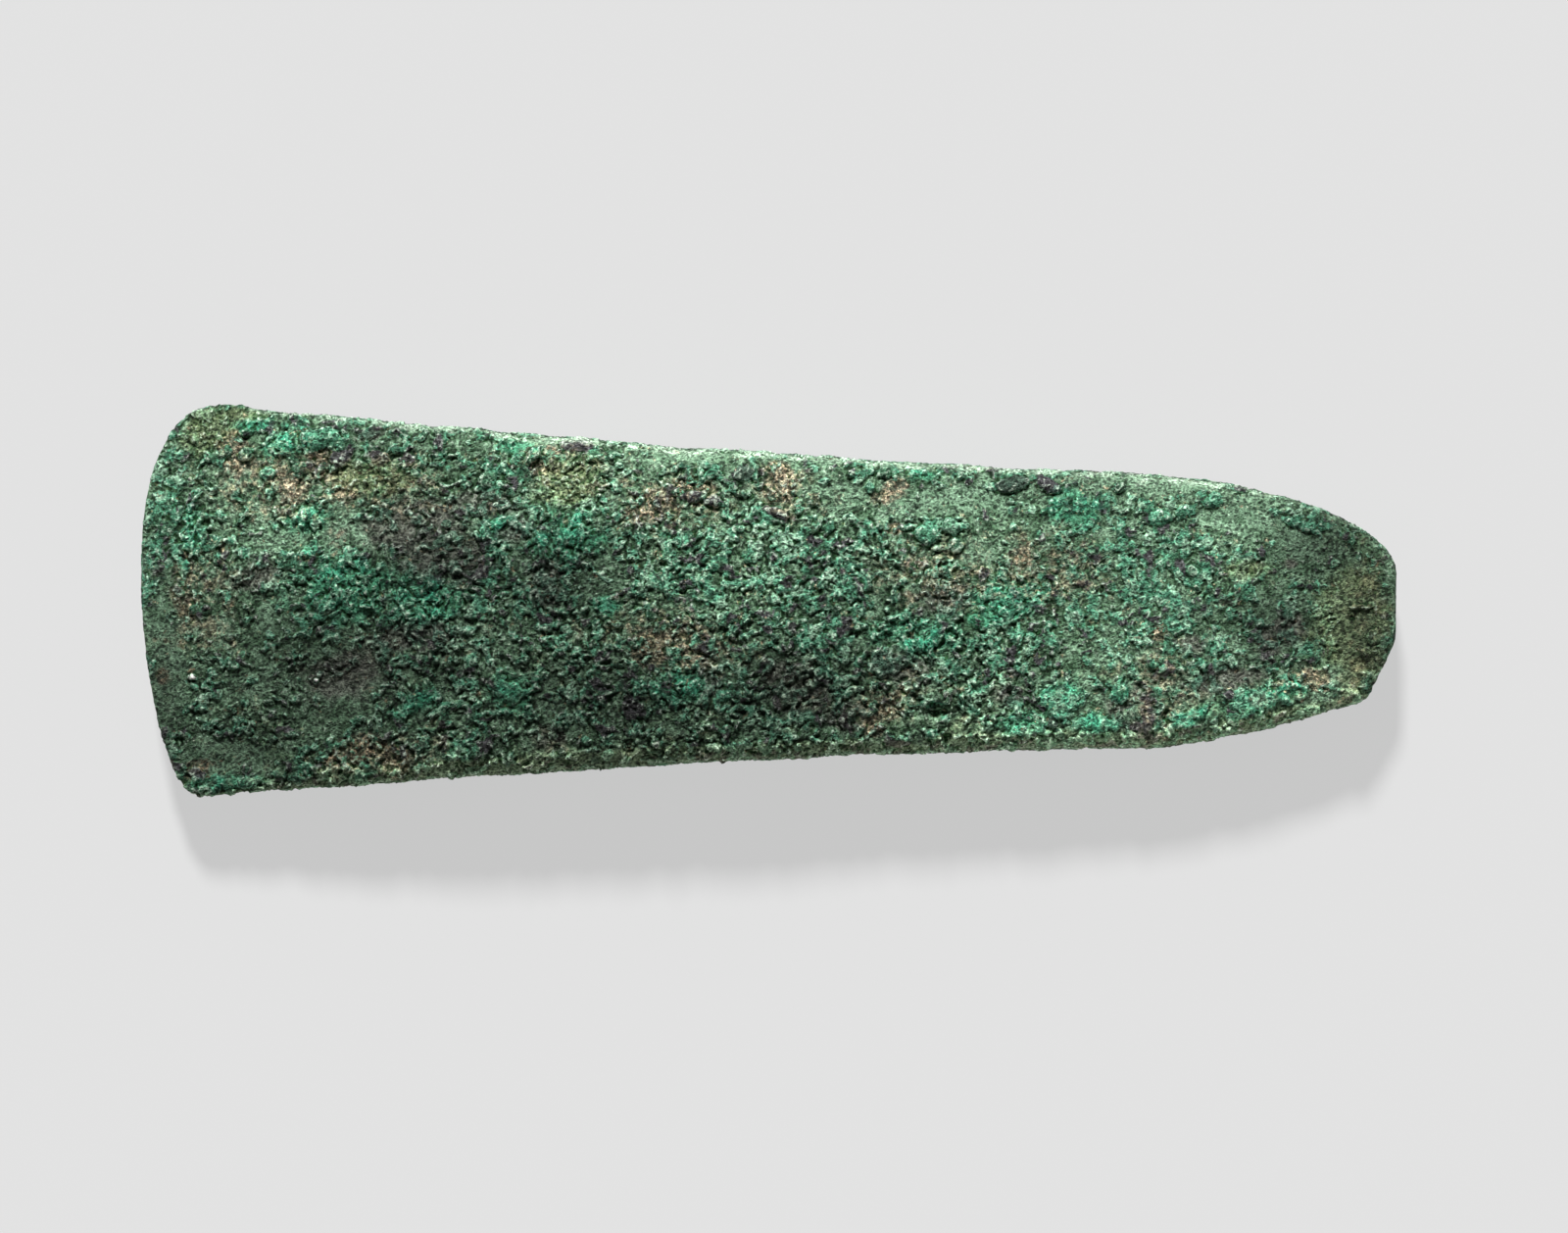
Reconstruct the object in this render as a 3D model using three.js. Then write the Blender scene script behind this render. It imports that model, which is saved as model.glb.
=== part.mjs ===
// Flat axe head of cast bronze, corroded all over, lying on its lower face.
//
// Millimetres. +X runs from the cutting edge to the butt, +Y across the blade, and +Z up out of the
// upper face. The lower face rests on z = 0 at a small worn flat under the belly.
//
// The plan is a patch between four boundary curves: the cutting edge, the butt and the two long
// sides. Each face is that patch lifted by a thickness field, and a narrow wall joins the two.
import * as THREE from 'three';
import { ImprovedNoise } from 'three/addons/math/ImprovedNoise.js';

// Plan. The squareness of a rounding is 2 for an ellipse and more for a fuller corner.
const LENGTH = 150;
const TIP_X = -LENGTH / 2;
const TIP_Y = 3.3;
const BUTT_X = LENGTH / 2;
const WAIST_X = 41;
const WAIST_HALF_WIDTH = 16.4;
const UPPER_WAIST = new THREE.Vector2(WAIST_X, WAIST_HALF_WIDTH);
const LOWER_WAIST = new THREE.Vector2(WAIST_X, -WAIST_HALF_WIDTH);
const EDGE_TOP = new THREE.Vector2(-65.4, 23.2);
const EDGE_BOTTOM = new THREE.Vector2(-67.6, -23.45);
const EDGE_TOP_SQUARENESS = 2.4;
const EDGE_BOTTOM_SQUARENESS = 1.8;
const FLARE_POWER = 1.4;
const TAPER_POWER = 1.8;
const BUTT_SQUARENESS = 1.85;
const BUTT_FACET_TOP_Y = 5;
const BUTT_FACET_BOTTOM_Y = -3.2;
const BUTT_CORNER = new THREE.Vector2(71.6, -10.3);

// Turns within a rounding: the quarter turn that ends it, and where a long side takes over from an end.
const QUARTER_TURN = Math.PI / 2;
const EDGE_CORNER_TURN = Math.PI / 3;
const BUTT_CORNER_TURN = Math.PI / 6;

// Thickness
const BELLY_HALF = 5.4;
const BELLY_AT = 70;
const EDGE_HALF = 0.45;
const BUTT_HALF = 2.8;
const BLADE_FULLNESS = 2.6;
const CROWN_SHARE = 0.3;
const CROWN_POWER = 2.2;

// Worn rim between a face and the narrow wall
const RIM_WIDTH = 2.4;
const RIM_ROWS = [0, 0.3, 0.95, RIM_WIDTH];
const WALL_SHARE_UPPER = 0.22;
const WALL_SHARE_LOWER = 0.5;
const WALL_SHARE_BUTT = 0.62;
const MEAN_HALF_WIDTH = 18.5;

// Flats worn or hammered into the faces
const FOOT_DEPTH = 0.3;
const SEAT_X = 43;
const SEAT_DEPTH = 0.2;

// Uneven crust, as broad swells that follow the noise
const SWELL_RISE = 0.3;
const SWELL_SPAN = 13;
const RIPPLE_RISE = 0.16;
const RIPPLE_SPAN = 5.5;
const OUTLINE_WANDER = 0.22;

// Grid
const ROWS_LONG = 62;
const ROWS_ACROSS = 26;

const MID_Z = BELLY_HALF - FOOT_DEPTH;

// Larger lumps and hollows of the upper face: centre, half-length along X, half-width, rise
const UPPER_RELIEF = [
  // crust ridge by the upper corner
  { x: -54, y: 18.4, along: 3.4, across: 1.8, rise: 0.45 },
  // scaled crust behind the upper half of the edge
  { x: -62, y: 16.5, along: 3.2, across: 2.2, rise: 0.3 },
  // bare hollow by the lower corner
  { x: -64.5, y: -18.5, along: 6, across: 3, rise: -0.35 },
  // dark hollows of the blade
  { x: -42, y: 9.3, along: 8, across: 3.6, rise: -0.25 },
  { x: -50.5, y: -8.7, along: 6.5, across: 5, rise: -0.22 },
  // green plate and dark hollow at mid length
  { x: -9.8, y: -10, along: 3.6, across: 2.8, rise: 0.35 },
  { x: 6.5, y: -11.6, along: 4.5, across: 3, rise: -0.25 },
  // ochre scab by the upper side
  { x: -9, y: 14.5, along: 3.6, across: 2.2, rise: 0.3 },
  // scaled plate of the butt half
  { x: 36, y: -11.5, along: 3.2, across: 2.6, rise: 0.3 },
  // turquoise crust at the lower shoulder and teal lumps at the upper one
  { x: 58.5, y: -10.2, along: 5.5, across: 2.4, rise: 0.45 },
  { x: 47, y: 11.6, along: 4.2, across: 2, rise: 0.35 },
];

const noise = new ImprovedNoise();

function swell(x, y, layer) {
  const broad = SWELL_RISE * noise.noise(x / SWELL_SPAN, y / SWELL_SPAN, layer);
  const fine = RIPPLE_RISE * noise.noise(x / RIPPLE_SPAN, y / RIPPLE_SPAN, layer + 7.3);
  return broad + fine;
}

function namedRelief(x, y) {
  return UPPER_RELIEF.reduce((sum, lump) => {
    const u = (x - lump.x) / lump.along;
    const v = (y - lump.y) / lump.across;
    return sum + lump.rise * Math.exp(-u * u - v * v);
  }, 0);
}

// Part of a rounding between two points: the first is reached level with the centre, at turn 0, and the
// second straight above or below the centre, at a quarter turn.
class Rounding extends THREE.Curve {
  constructor(beside, above, squareness, fromTurn, toTurn) {
    super();
    this.centre = new THREE.Vector2(above.x, beside.y);
    this.reach = new THREE.Vector2(beside.x - above.x, above.y - beside.y);
    this.power = 2 / squareness;
    this.fromTurn = fromTurn;
    this.toTurn = toTurn;
  }

  getPoint(t, target = new THREE.Vector2()) {
    const turn = THREE.MathUtils.lerp(this.fromTurn, this.toTurn, t);
    target.set(Math.cos(turn) ** this.power, Math.sin(turn) ** this.power);
    return target.multiply(this.reach).add(this.centre);
  }
}

// Stretch of a long side that leaves the waist level and bends away as a power of the distance from it.
class Sweep extends THREE.Curve {
  constructor(waist, end, power, fromShare, toShare) {
    super();
    this.waist = waist;
    this.end = end;
    this.power = power;
    this.fromShare = fromShare;
    this.toShare = toShare;
  }

  getPoint(t, target = new THREE.Vector2()) {
    const share = THREE.MathUtils.lerp(this.fromShare, this.toShare, t);
    const x = THREE.MathUtils.lerp(this.waist.x, this.end.x, share);
    const y = THREE.MathUtils.lerp(this.waist.y, this.end.y, share ** this.power);
    return target.set(x, y);
  }
}

function joined(...curves) {
  const path = new THREE.CurvePath();
  curves.forEach((curve) => path.add(curve));
  return path;
}

const TIP = new THREE.Vector2(TIP_X, TIP_Y);
const BUTT_FACET_TOP = new THREE.Vector2(BUTT_X, BUTT_FACET_TOP_Y);
const BUTT_FACET_BOTTOM = new THREE.Vector2(BUTT_X, BUTT_FACET_BOTTOM_Y);

// Boundary curves. Both long sides run from the cutting edge to the butt, and both ends run
// from the lower side to the upper.

function cuttingEdge() {
  return joined(
    new Rounding(TIP, EDGE_BOTTOM, EDGE_BOTTOM_SQUARENESS, QUARTER_TURN, 0),
    new Rounding(TIP, EDGE_TOP, EDGE_TOP_SQUARENESS, 0, EDGE_CORNER_TURN),
  );
}

function upperSide() {
  return joined(
    new Rounding(TIP, EDGE_TOP, EDGE_TOP_SQUARENESS, EDGE_CORNER_TURN, QUARTER_TURN),
    new Sweep(UPPER_WAIST, EDGE_TOP, FLARE_POWER, 1, 0),
    new Rounding(BUTT_FACET_TOP, UPPER_WAIST, BUTT_SQUARENESS, QUARTER_TURN, BUTT_CORNER_TURN),
  );
}

function lowerSide() {
  return joined(
    new Sweep(LOWER_WAIST, EDGE_BOTTOM, FLARE_POWER, 1, 0),
    new Sweep(LOWER_WAIST, BUTT_CORNER, TAPER_POWER, 0, 1),
  );
}

function buttEnd() {
  return joined(
    new THREE.LineCurve(BUTT_CORNER, BUTT_FACET_BOTTOM),
    new THREE.LineCurve(BUTT_FACET_BOTTOM, BUTT_FACET_TOP),
    new Rounding(BUTT_FACET_TOP, UPPER_WAIST, BUTT_SQUARENESS, 0, BUTT_CORNER_TURN),
  );
}

// Shares of a length, with the rim rows at the ends that have a rim and even steps between.
function shares(length, count, rimAtStart, rimAtEnd) {
  const rim = RIM_ROWS.map((row) => row / length);
  const start = rimAtStart ? rim : [0];
  const end = rimAtEnd ? rim.map((row) => 1 - row).reverse() : [1];
  const first = start[start.length - 1];
  const span = end[0] - first;
  const steps = count - (start.length - 1) - (end.length - 1);
  const between = [];
  for (let i = 1; i < steps; i++) between.push(first + (span * i) / steps);
  return [...start, ...between, ...end];
}

function pointsAt(path, fractions) {
  return fractions.map((u) => path.getPointAt(u));
}

// Coons patch through the four boundary curves: plan[i][j] runs i along and j across.
function planGrid(along, across) {
  const edge = pointsAt(cuttingEdge(), across);
  const butt = pointsAt(buttEnd(), across);
  const low = pointsAt(lowerSide(), along);
  const high = pointsAt(upperSide(), along);
  const corner = { edgeLow: edge[0], edgeHigh: edge.at(-1), buttLow: butt[0], buttHigh: butt.at(-1) };
  return along.map((a, i) =>
    across.map((b, j) => {
      const ruled = low[i].clone().lerp(high[i], b).add(edge[j].clone().lerp(butt[j], a));
      const lowLine = corner.edgeLow.clone().lerp(corner.buttLow, a);
      const highLine = corner.edgeHigh.clone().lerp(corner.buttHigh, a);
      return ruled.sub(lowLine.lerp(highLine, b));
    }),
  );
}

// Half thickness on the centre line, at a distance from the cutting edge.
function centreHalf(distance) {
  if (distance < BELLY_AT) {
    const thinning = (1 - distance / BELLY_AT) ** BLADE_FULLNESS;
    return EDGE_HALF + (BELLY_HALF - EDGE_HALF) * (1 - thinning);
  }
  const past = (distance - BELLY_AT) / (LENGTH - BELLY_AT);
  return BELLY_HALF - (BELLY_HALF - BUTT_HALF) * past * past;
}

// Falls from 1 inside the rim to the wall's share at the outline, as a quarter round.
function rimShare(inset, wallShare) {
  if (inset >= RIM_WIDTH) return 1;
  const out = 1 - inset / RIM_WIDTH;
  return wallShare + (1 - wallShare) * Math.sqrt(1 - out * out);
}

// Half thickness of one face over the mid plane, at shares a along and b across.
function halfThickness(a, b, wallShare) {
  const offAxis = Math.abs(2 * b - 1);
  const centre = centreHalf(a * LENGTH);
  const crowned = centre * (1 - CROWN_SHARE * offAxis ** CROWN_POWER);
  const sideRim = rimShare((1 - offAxis) * MEAN_HALF_WIDTH, wallShare);
  const buttRim = rimShare((1 - a) * LENGTH, WALL_SHARE_BUTT);
  const bladeBlend = THREE.MathUtils.smoothstep(a * LENGTH, 0, 12);
  const rim = THREE.MathUtils.lerp(1, sideRim, bladeBlend);
  return crowned * Math.min(rim, buttRim);
}

// Slope and height of the flat hammered on each face of the butt half.
const SEAT_PAST = (SEAT_X - TIP_X - BELLY_AT) / (LENGTH - BELLY_AT);
const SEAT_SLOPE = (-2 * (BELLY_HALF - BUTT_HALF) * SEAT_PAST) / (LENGTH - BELLY_AT);
const SEAT_HALF = centreHalf(SEAT_X - TIP_X) - SEAT_DEPTH;

function seatHalf(x) {
  return SEAT_HALF + SEAT_SLOPE * (x - SEAT_X);
}

// A height over the mid plane that is cut off flat where it passes the plane of a flat. The
// uneven crust fades out towards the flat, so the flat stays whole.
function shaved(height, flat, unevenness) {
  if (height >= flat) return flat;
  return Math.min(flat, height + unevenness * THREE.MathUtils.smoothstep(flat - height, 0, 0.5));
}

// The blade thins to nothing, so the crust on it thins too.
function crustShare(a, b) {
  const fromEdge = THREE.MathUtils.smoothstep(a * LENGTH, 1, 14);
  const fromSide = THREE.MathUtils.smoothstep(Math.min(b, 1 - b) * 2 * MEAN_HALF_WIDTH, 0, 3);
  const fromButt = THREE.MathUtils.smoothstep((1 - a) * LENGTH, 0, 3);
  return fromEdge * fromSide * fromButt;
}

function upperZ(a, b, { x, y }) {
  const uneven = crustShare(a, b) * (swell(x, y, 0) + namedRelief(x, y));
  return MID_Z + shaved(halfThickness(a, b, WALL_SHARE_UPPER), seatHalf(x), uneven);
}

function lowerZ(a, b, { x, y }) {
  const uneven = crustShare(a, b) * swell(x, y, 21);
  const height = halfThickness(a, b, WALL_SHARE_LOWER);
  const flat = Math.min(seatHalf(x), MID_Z);
  return MID_Z - shaved(height, flat, uneven);
}

// The outline wanders a little along the long sides, and not at the cutting edge or the butt.
function wander(point, a, b) {
  const onSide = b === 0 || b === 1;
  if (!onSide) return point;
  const fade = THREE.MathUtils.smoothstep(Math.min(a, 1 - a) * LENGTH, 0, 10);
  const shift = OUTLINE_WANDER * fade * noise.noise(point.x / 7, point.y / 7, 3.1);
  return new THREE.Vector2(point.x, point.y + shift);
}

// Vertices and triangles of the whole head: upper grid, lower grid and the wall between.
function axeHeadGeometry() {
  const along = shares(LENGTH, ROWS_LONG, false, true);
  const across = shares(2 * MEAN_HALF_WIDTH, ROWS_ACROSS, true, true);
  const plan = planGrid(along, across);
  const positions = [];
  const indices = [];
  const stride = across.length;
  const lowerStart = along.length * stride;

  for (const height of [upperZ, lowerZ]) {
    along.forEach((a, i) => {
      across.forEach((b, j) => {
        const point = wander(plan[i][j], a, b);
        positions.push(point.x, point.y, height(a, b, plan[i][j]));
      });
    });
  }

  const quad = (p, q, r, s) => indices.push(p, q, r, p, r, s);
  for (let i = 0; i + 1 < along.length; i++) {
    for (let j = 0; j + 1 < stride; j++) {
      const p = i * stride + j;
      quad(p, p + stride, p + stride + 1, p + 1);
      const q = p + lowerStart;
      quad(q, q + 1, q + stride + 1, q + stride);
    }
  }

  const loop = outlineLoop(along.length, stride);
  loop.forEach((from, k) => {
    const to = loop[(k + 1) % loop.length];
    quad(from, from + lowerStart, to + lowerStart, to);
  });

  const geometry = new THREE.BufferGeometry();
  geometry.setAttribute('position', new THREE.Float32BufferAttribute(positions, 3));
  geometry.setIndex(indices);
  geometry.computeVertexNormals();
  return geometry;
}

// Indices of the upper grid's outer vertices, anticlockwise from above.
function outlineLoop(rows, stride) {
  const loop = [];
  for (let i = 0; i < rows - 1; i++) loop.push(i * stride);
  for (let j = 0; j < stride - 1; j++) loop.push((rows - 1) * stride + j);
  for (let i = rows - 1; i > 0; i--) loop.push(i * stride + stride - 1);
  for (let j = stride - 1; j > 0; j--) loop.push(j);
  return loop;
}

const corrodedBronze = new THREE.MeshStandardMaterial({
  color: 0x4c6f5c,
  roughness: 0.95,
  metalness: 0.1,
});

const axeHead = new THREE.Mesh(axeHeadGeometry(), corrodedBronze);
axeHead.name = 'axe_head';

const flatAxe = new THREE.Group();
flatAxe.add(axeHead);

export default flatAxe;
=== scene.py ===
"""Looks of the flat bronze axe head: one piece, its corrosion crust modelled as relief on the CAD body.

The CAD node is copied, given an even skin and raised into crust by noise and by listed patches. The
same fields colour the crust, through attributes on the mesh that the node material reads.
Lengths in the relief are millimetres; Blender objects are metres.
"""

import itertools
import math

import bpy
import numpy as np
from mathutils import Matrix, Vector


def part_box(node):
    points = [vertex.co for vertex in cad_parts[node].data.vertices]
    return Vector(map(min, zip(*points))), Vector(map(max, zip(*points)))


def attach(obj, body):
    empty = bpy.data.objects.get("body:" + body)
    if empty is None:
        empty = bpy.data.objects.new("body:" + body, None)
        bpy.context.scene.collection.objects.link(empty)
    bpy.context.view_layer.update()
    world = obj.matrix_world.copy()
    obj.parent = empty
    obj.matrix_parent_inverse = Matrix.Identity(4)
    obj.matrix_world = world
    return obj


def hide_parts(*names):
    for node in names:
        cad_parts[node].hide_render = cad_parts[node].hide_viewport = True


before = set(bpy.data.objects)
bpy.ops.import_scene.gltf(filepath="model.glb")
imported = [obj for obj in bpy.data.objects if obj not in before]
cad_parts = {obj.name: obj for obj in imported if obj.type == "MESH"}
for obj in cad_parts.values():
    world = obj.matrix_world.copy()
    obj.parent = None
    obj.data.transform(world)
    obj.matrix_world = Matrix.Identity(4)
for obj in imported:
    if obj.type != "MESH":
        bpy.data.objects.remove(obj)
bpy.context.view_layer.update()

NODE = "axe_head"
MM = 0.001

# The visible mesh: the size of the skin's faces, its smoothing rounds, the triangle limit, and the share of
# the underside's faces that goes first.
SKIN_VOXEL = 0.2 * MM
SKIN_SMOOTHING = 6
MOST_TRIANGLES = 196000
UNDERSIDE_THINNING = 0.85
TIP_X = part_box(NODE)[0].x / MM
BUTT_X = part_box(NODE)[1].x / MM
MIDDLE_Z = (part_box(NODE)[0].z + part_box(NODE)[1].z) / 2 / MM

# The crust's heights and depths in mm. The last one lowers the whole crust into the body.
SWELL_HEIGHT = 0.14
WRINKLE_HEIGHT = 0.13
ISLAND_HEIGHT = 0.34
CRUMB_HEIGHT = 0.16
CREST_HEIGHT = 0.07
PLATE_HEIGHT = 0.2
EMERALD_HEIGHT = 0.16
CHARCOAL_DEPTH = 0.12
EARTH_DEPTH = 0.1
SINKING = 0.2
# Round nodules: the cell that holds one and its least and greatest radius in mm, and the share of its
# height that shows.
NODULE_CELL = 1.7
NODULE_RADII = (0.3, 0.75)
NODULE_SHOWING = 0.45
# The crust runs out along a grain. In the relief, its turn in degrees and what places are scaled by; in the
# material, its turn in degrees and its stretch.
RELIEF_TURN = 18
RELIEF_SCALE = np.array([0.8, 1.0, 1.0])
WRINKLE_SCALE = np.array([0.6, 1.0, 1.0])
GRAIN_TURN = 25
GRAIN_STRETCH = 1.25
# Towards the butt the upper face is lower and more wrinkled: x in mm where each starts and is full.
LOWER_CRUST = (22, 42)
WRINKLED = (34, 46)
# The crust grows from low to full between these distances in mm from the cutting edge and from the butt.
EDGE_THINNING = (0.5, 8.0)
BUTT_THINNING = (0.0, 4.0)

# The crust's colours, linear
GROUND_DARK = (0.04, 0.08, 0.043)
GROUND_LIGHT = (0.112, 0.187, 0.12)
GROUND_CALM = (0.13, 0.215, 0.14)
GROUND_EMERALD = (0.03, 0.2, 0.11)
GROUND_CHARCOAL = (0.105, 0.096, 0.086)
EARTH_DARK = (0.15, 0.095, 0.055)
EARTH_CREAM = (0.6, 0.5, 0.34)
EARTH_STAIN = (0.075, 0.06, 0.045)
LUMP_BLACK = (0.043, 0.043, 0.045)
LUMP_DARK = (0.035, 0.088, 0.05)
LUMP_MID = (0.058, 0.18, 0.11)
LUMP_PALE = (0.145, 0.255, 0.172)
LUMP_EMERALD = (0.04, 0.24, 0.14)
LUMP_CHARCOAL = (0.055, 0.05, 0.048)
DUST_DARK = (0.07, 0.057, 0.045)
DUST_LIGHT = (0.36, 0.31, 0.2)
OLIVE_GREEN = (0.15, 0.18, 0.08)
# Painted highlight on the upper edge, which faces the lamp.
LAMP_SIDE_HIGHLIGHT = (0.42, 0.56, 0.42)
# The tan of the lower rim, partly its own colour and partly painted light on the side away from the lamp.
TAN_RIM_AND_PAINTED_LIGHT = (0.27, 0.3, 0.17)
# Painted highlight on crests.
CREST_PAINTED_HIGHLIGHT = (0.42, 0.52, 0.41)
CHIP_WHITE = (0.75, 0.75, 0.7)
SPECK_PALE = (0.6, 0.62, 0.5)
# Painted shade in crevices, multiplied in.
CREVICE_PAINTED_SHADE = (0.08, 0.18, 0.09)
WHITE = (1.0, 1.0, 1.0)

# The studio: a floor in metres that glows evenly, a room brighter low down than overhead, which falls off
# between two heights of the sky, and one far lamp, with its angles in degrees.
FLOOR_SIZE = 4
FLOOR_GREY = 0.2
FLOOR_GLOW = 0.54
FLOOR_ROUGHNESS = 0.9
ROOM_FALL = (0.2, 0.4)
ROOM_LOW = 0.76
ROOM_OVERHEAD = 0.14
LAMP_AZIMUTH = 98
LAMP_ELEVATION = 30
LAMP_STRENGTH = 5.8
LAMP_SPREAD = 8

# The picture at the head's mid height: its width and centre in mm, its turn in degrees, and the lens in mm.
PICTURE_WIDTH = 187.5
PICTURE_CENTRE = (1.95, -1.2)
PICTURE_TURN = 0.66
LENS = 150

# Patches of the upper face are soft ellipses: x, y, half-length, half-width in mm, turn in degrees.
# Bare dark hollows, grey to purple.
CHARCOAL = [
    (-42.0, 9.3, 6.8, 3.2, 8), (-34.0, 12.0, 3.8, 2.2, 0), (-38.5, 5.5, 5.0, 3.0, 0),
    (-50.7, -8.7, 5.0, 3.2, 15), (-30.8, 8.6, 2.6, 1.8, 0), (-26.4, 2.5, 2.2, 3.0, 0),
    (-47.7, 20.0, 2.0, 0.8, 15), (-73.0, 3.4, 0.8, 1.0, 0), (-25.7, -15.9, 1.8, 1.5, 0),
    (-6.6, -8.2, 1.4, 2.8, 0), (3.3, -9.4, 5.0, 3.0, -20), (9.6, -13.2, 2.6, 2.0, 0),
    (28.8, -10.4, 1.8, 1.3, 0), (43.5, -11.8, 3.0, 2.4, 0), (50.7, -4.0, 1.5, 1.2, 0),
    (54.6, -8.0, 4.6, 1.7, 8), (-61.0, 3.0, 3.2, 1.6, 30), (-42.0, -4.0, 6.0, 1.6, 10),
    (21.0, 1.0, 3.0, 2.0, 30), (62.0, -1.8, 2.0, 1.8, 0), (15.5, -7.0, 4.0, 2.0, -10),
    (62.2, 5.7, 0.8, 0.7, 0), (54.1, 1.4, 0.6, 0.4, -20), (59.5, -3.5, 1.4, 2.0, 40),
]
# Soil and sand held in the crust, cream to orange.
EARTH = [
    (-64.0, 17.6, 2.2, 2.0, 40), (-53.2, 16.9, 1.6, 1.8, 0), (-56.9, 13.4, 2.1, 1.6, 0),
    (-50.3, 13.0, 1.6, 1.0, 0), (-69.6, 4.2, 0.9, 1.4, 0), (-69.5, -0.8, 1.0, 1.6, 0),
    (-49.6, -17.6, 4.2, 1.8, 8), (-43.2, -18.5, 2.4, 1.4, 0), (-68.2, -20.0, 1.8, 1.0, 20),
    (-72.3, -9.0, 0.9, 1.0, 0), (-13.0, 11.8, 3.6, 1.6, 10), (-9.0, 14.2, 2.0, 1.3, 0),
    (-26.7, 17.2, 1.9, 1.6, 30), (-9.8, -4.6, 3.6, 2.0, -15), (-14.6, -5.6, 2.4, 2.2, 0),
    (1.1, 16.5, 1.3, 0.9, 0), (0.8, 14.2, 1.9, 1.4, 0), (14.4, 13.9, 1.8, 1.1, 30),
    (5.9, 6.5, 0.9, 1.3, 0), (15.0, 9.4, 1.0, 0.7, 0), (29.8, 6.0, 1.2, 0.9, 0),
    (14.2, -11.8, 2.2, 1.2, 20), (12.9, -14.8, 1.6, 0.9, 0), (46.8, -2.8, 1.3, 1.0, 0),
    (65.6, -8.2, 1.9, 1.1, -20), (61.8, -8.2, 1.1, 0.8, 0), (47.4, -14.4, 1.6, 1.0, 10),
    (70.5, -6.2, 0.7, 0.5, 0), (70.3, -8.3, 0.6, 0.5, 0),
]
# Bright green crust.
EMERALD = [
    (-50.3, 0.9, 6.4, 4.0, 12), (-41.0, 0.2, 5.0, 3.4, 0), (-32.1, 8.5, 2.6, 2.2, 0),
    (-24.0, 7.4, 4.6, 3.0, 15), (-19.2, -0.2, 1.8, 1.3, 0), (-9.6, -9.4, 4.8, 2.4, 10),
    (-58.2, 18.7, 2.4, 1.6, 20), (-62.2, 20.8, 2.4, 1.4, 10), (-55.2, 9.8, 2.8, 1.6, 20),
    (-46.7, 12.4, 1.6, 1.2, 0), (-30.4, 18.6, 2.2, 0.9, 0), (-54.8, 5.9, 0.8, 0.7, 0),
    (-30.1, -10.8, 2.6, 2.4, 30), (-41.8, -11.9, 3.6, 1.4, 25), (-64.5, -21.8, 4.5, 0.9, 4),
    (-69.0, 8.0, 1.2, 3.6, 0), (18.7, 15.8, 1.8, 0.8, 0), (18.0, -3.2, 5.0, 2.6, 0),
    (27.5, 0.5, 5.0, 3.0, 0), (36.3, 12.0, 3.4, 2.4, 0), (34.8, -10.8, 2.8, 2.4, 0),
    (30.4, -13.7, 3.0, 1.6, 0), (42.2, -9.8, 1.3, 1.5, 0), (39.0, -13.6, 3.0, 1.4, 0),
    (50.2, -12.9, 3.2, 1.0, 25), (58.8, -10.4, 4.6, 1.5, 16), (62.0, -8.9, 1.8, 0.8, 10),
]
# Low fine ground, where the crust has come off or never grew thick.
CALM = [
    (-71.5, -7.0, 2.2, 9.0, 10), (-64.5, -18.6, 5.2, 2.7, -8), (-25.0, 19.6, 6.0, 1.2, 4),
    (-9.0, 18.0, 8.0, 1.2, 4), (-58.5, 7.2, 4.4, 1.8, 0), (-50.0, 8.0, 4.2, 2.0, 10),
    (-51.0, -11.0, 4.0, 1.8, 12), (-62.0, -10.0, 4.0, 2.0, 20),
    (8.0, 13.0, 4.0, 2.2, 0), (21.0, 12.6, 7.5, 2.4, 0), (25.0, 6.5, 3.0, 2.0, 0),
    (43.0, 15.0, 13.0, 1.5, 3), (56.0, 11.0, 6.0, 1.8, -8), (63.0, 8.0, 3.0, 2.0, -30),
    (70.0, -1.0, 3.0, 4.6, 0), (69.0, -7.0, 3.0, 2.0, 10), (66.0, -10.5, 3.0, 0.8, 12),
]
# Thinly scattered lumps on sandy ground.
SANDY = [
    (-60.0, 11.0, 8.0, 7.0, 0), (-42.0, 12.0, 11.0, 5.0, 0), (-62.0, -3.0, 5.0, 7.0, 0),
    (-46.0, -10.0, 10.0, 5.0, 0), (3.0, 14.0, 10.0, 3.0, 0), (24.0, 10.0, 9.0, 5.0, 0),
    (60.0, 10.0, 8.0, 3.0, -10), (-60.0, -16.0, 9.0, 4.0, 0), (14.0, -14.5, 10.0, 2.0, 0),
]
# Yellowish green, at the corners and the butt.
OLIVE = [
    (-67.0, 20.4, 4.2, 2.6, 40), (-63.5, 22.2, 4.0, 1.0, 0), (69.5, -1.0, 5.0, 8.0, 0),
    (57.0, 5.0, 2.8, 1.3, 10), (-47.0, 14.8, 5.0, 2.4, 0), (-24.0, 14.5, 5.0, 3.0, 20),
]
# Passages with soil in many small hollows and dark grains among the green.
DUSTY = [
    (-58.0, 14.0, 10.0, 5.0, 0), (-44.0, 14.0, 7.0, 4.0, 0), (-12.0, 12.0, 8.0, 4.0, 0),
    (-12.0, -4.0, 9.0, 4.5, -10), (2.0, 14.0, 5.0, 3.5, 0), (21.0, 4.0, 9.0, 5.0, 0),
    (14.0, -11.5, 5.0, 3.0, 20), (33.0, 5.0, 7.0, 5.0, 0), (-46.0, -18.0, 8.0, 2.4, 8),
    (47.0, -9.0, 4.0, 6.0, 0), (63.0, -8.6, 6.0, 1.8, 10), (-67.0, 1.0, 4.0, 8.0, 0),
    (-24.0, 16.0, 6.0, 3.0, 0), (71.0, -1.0, 3.0, 7.0, 0),
]
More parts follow.
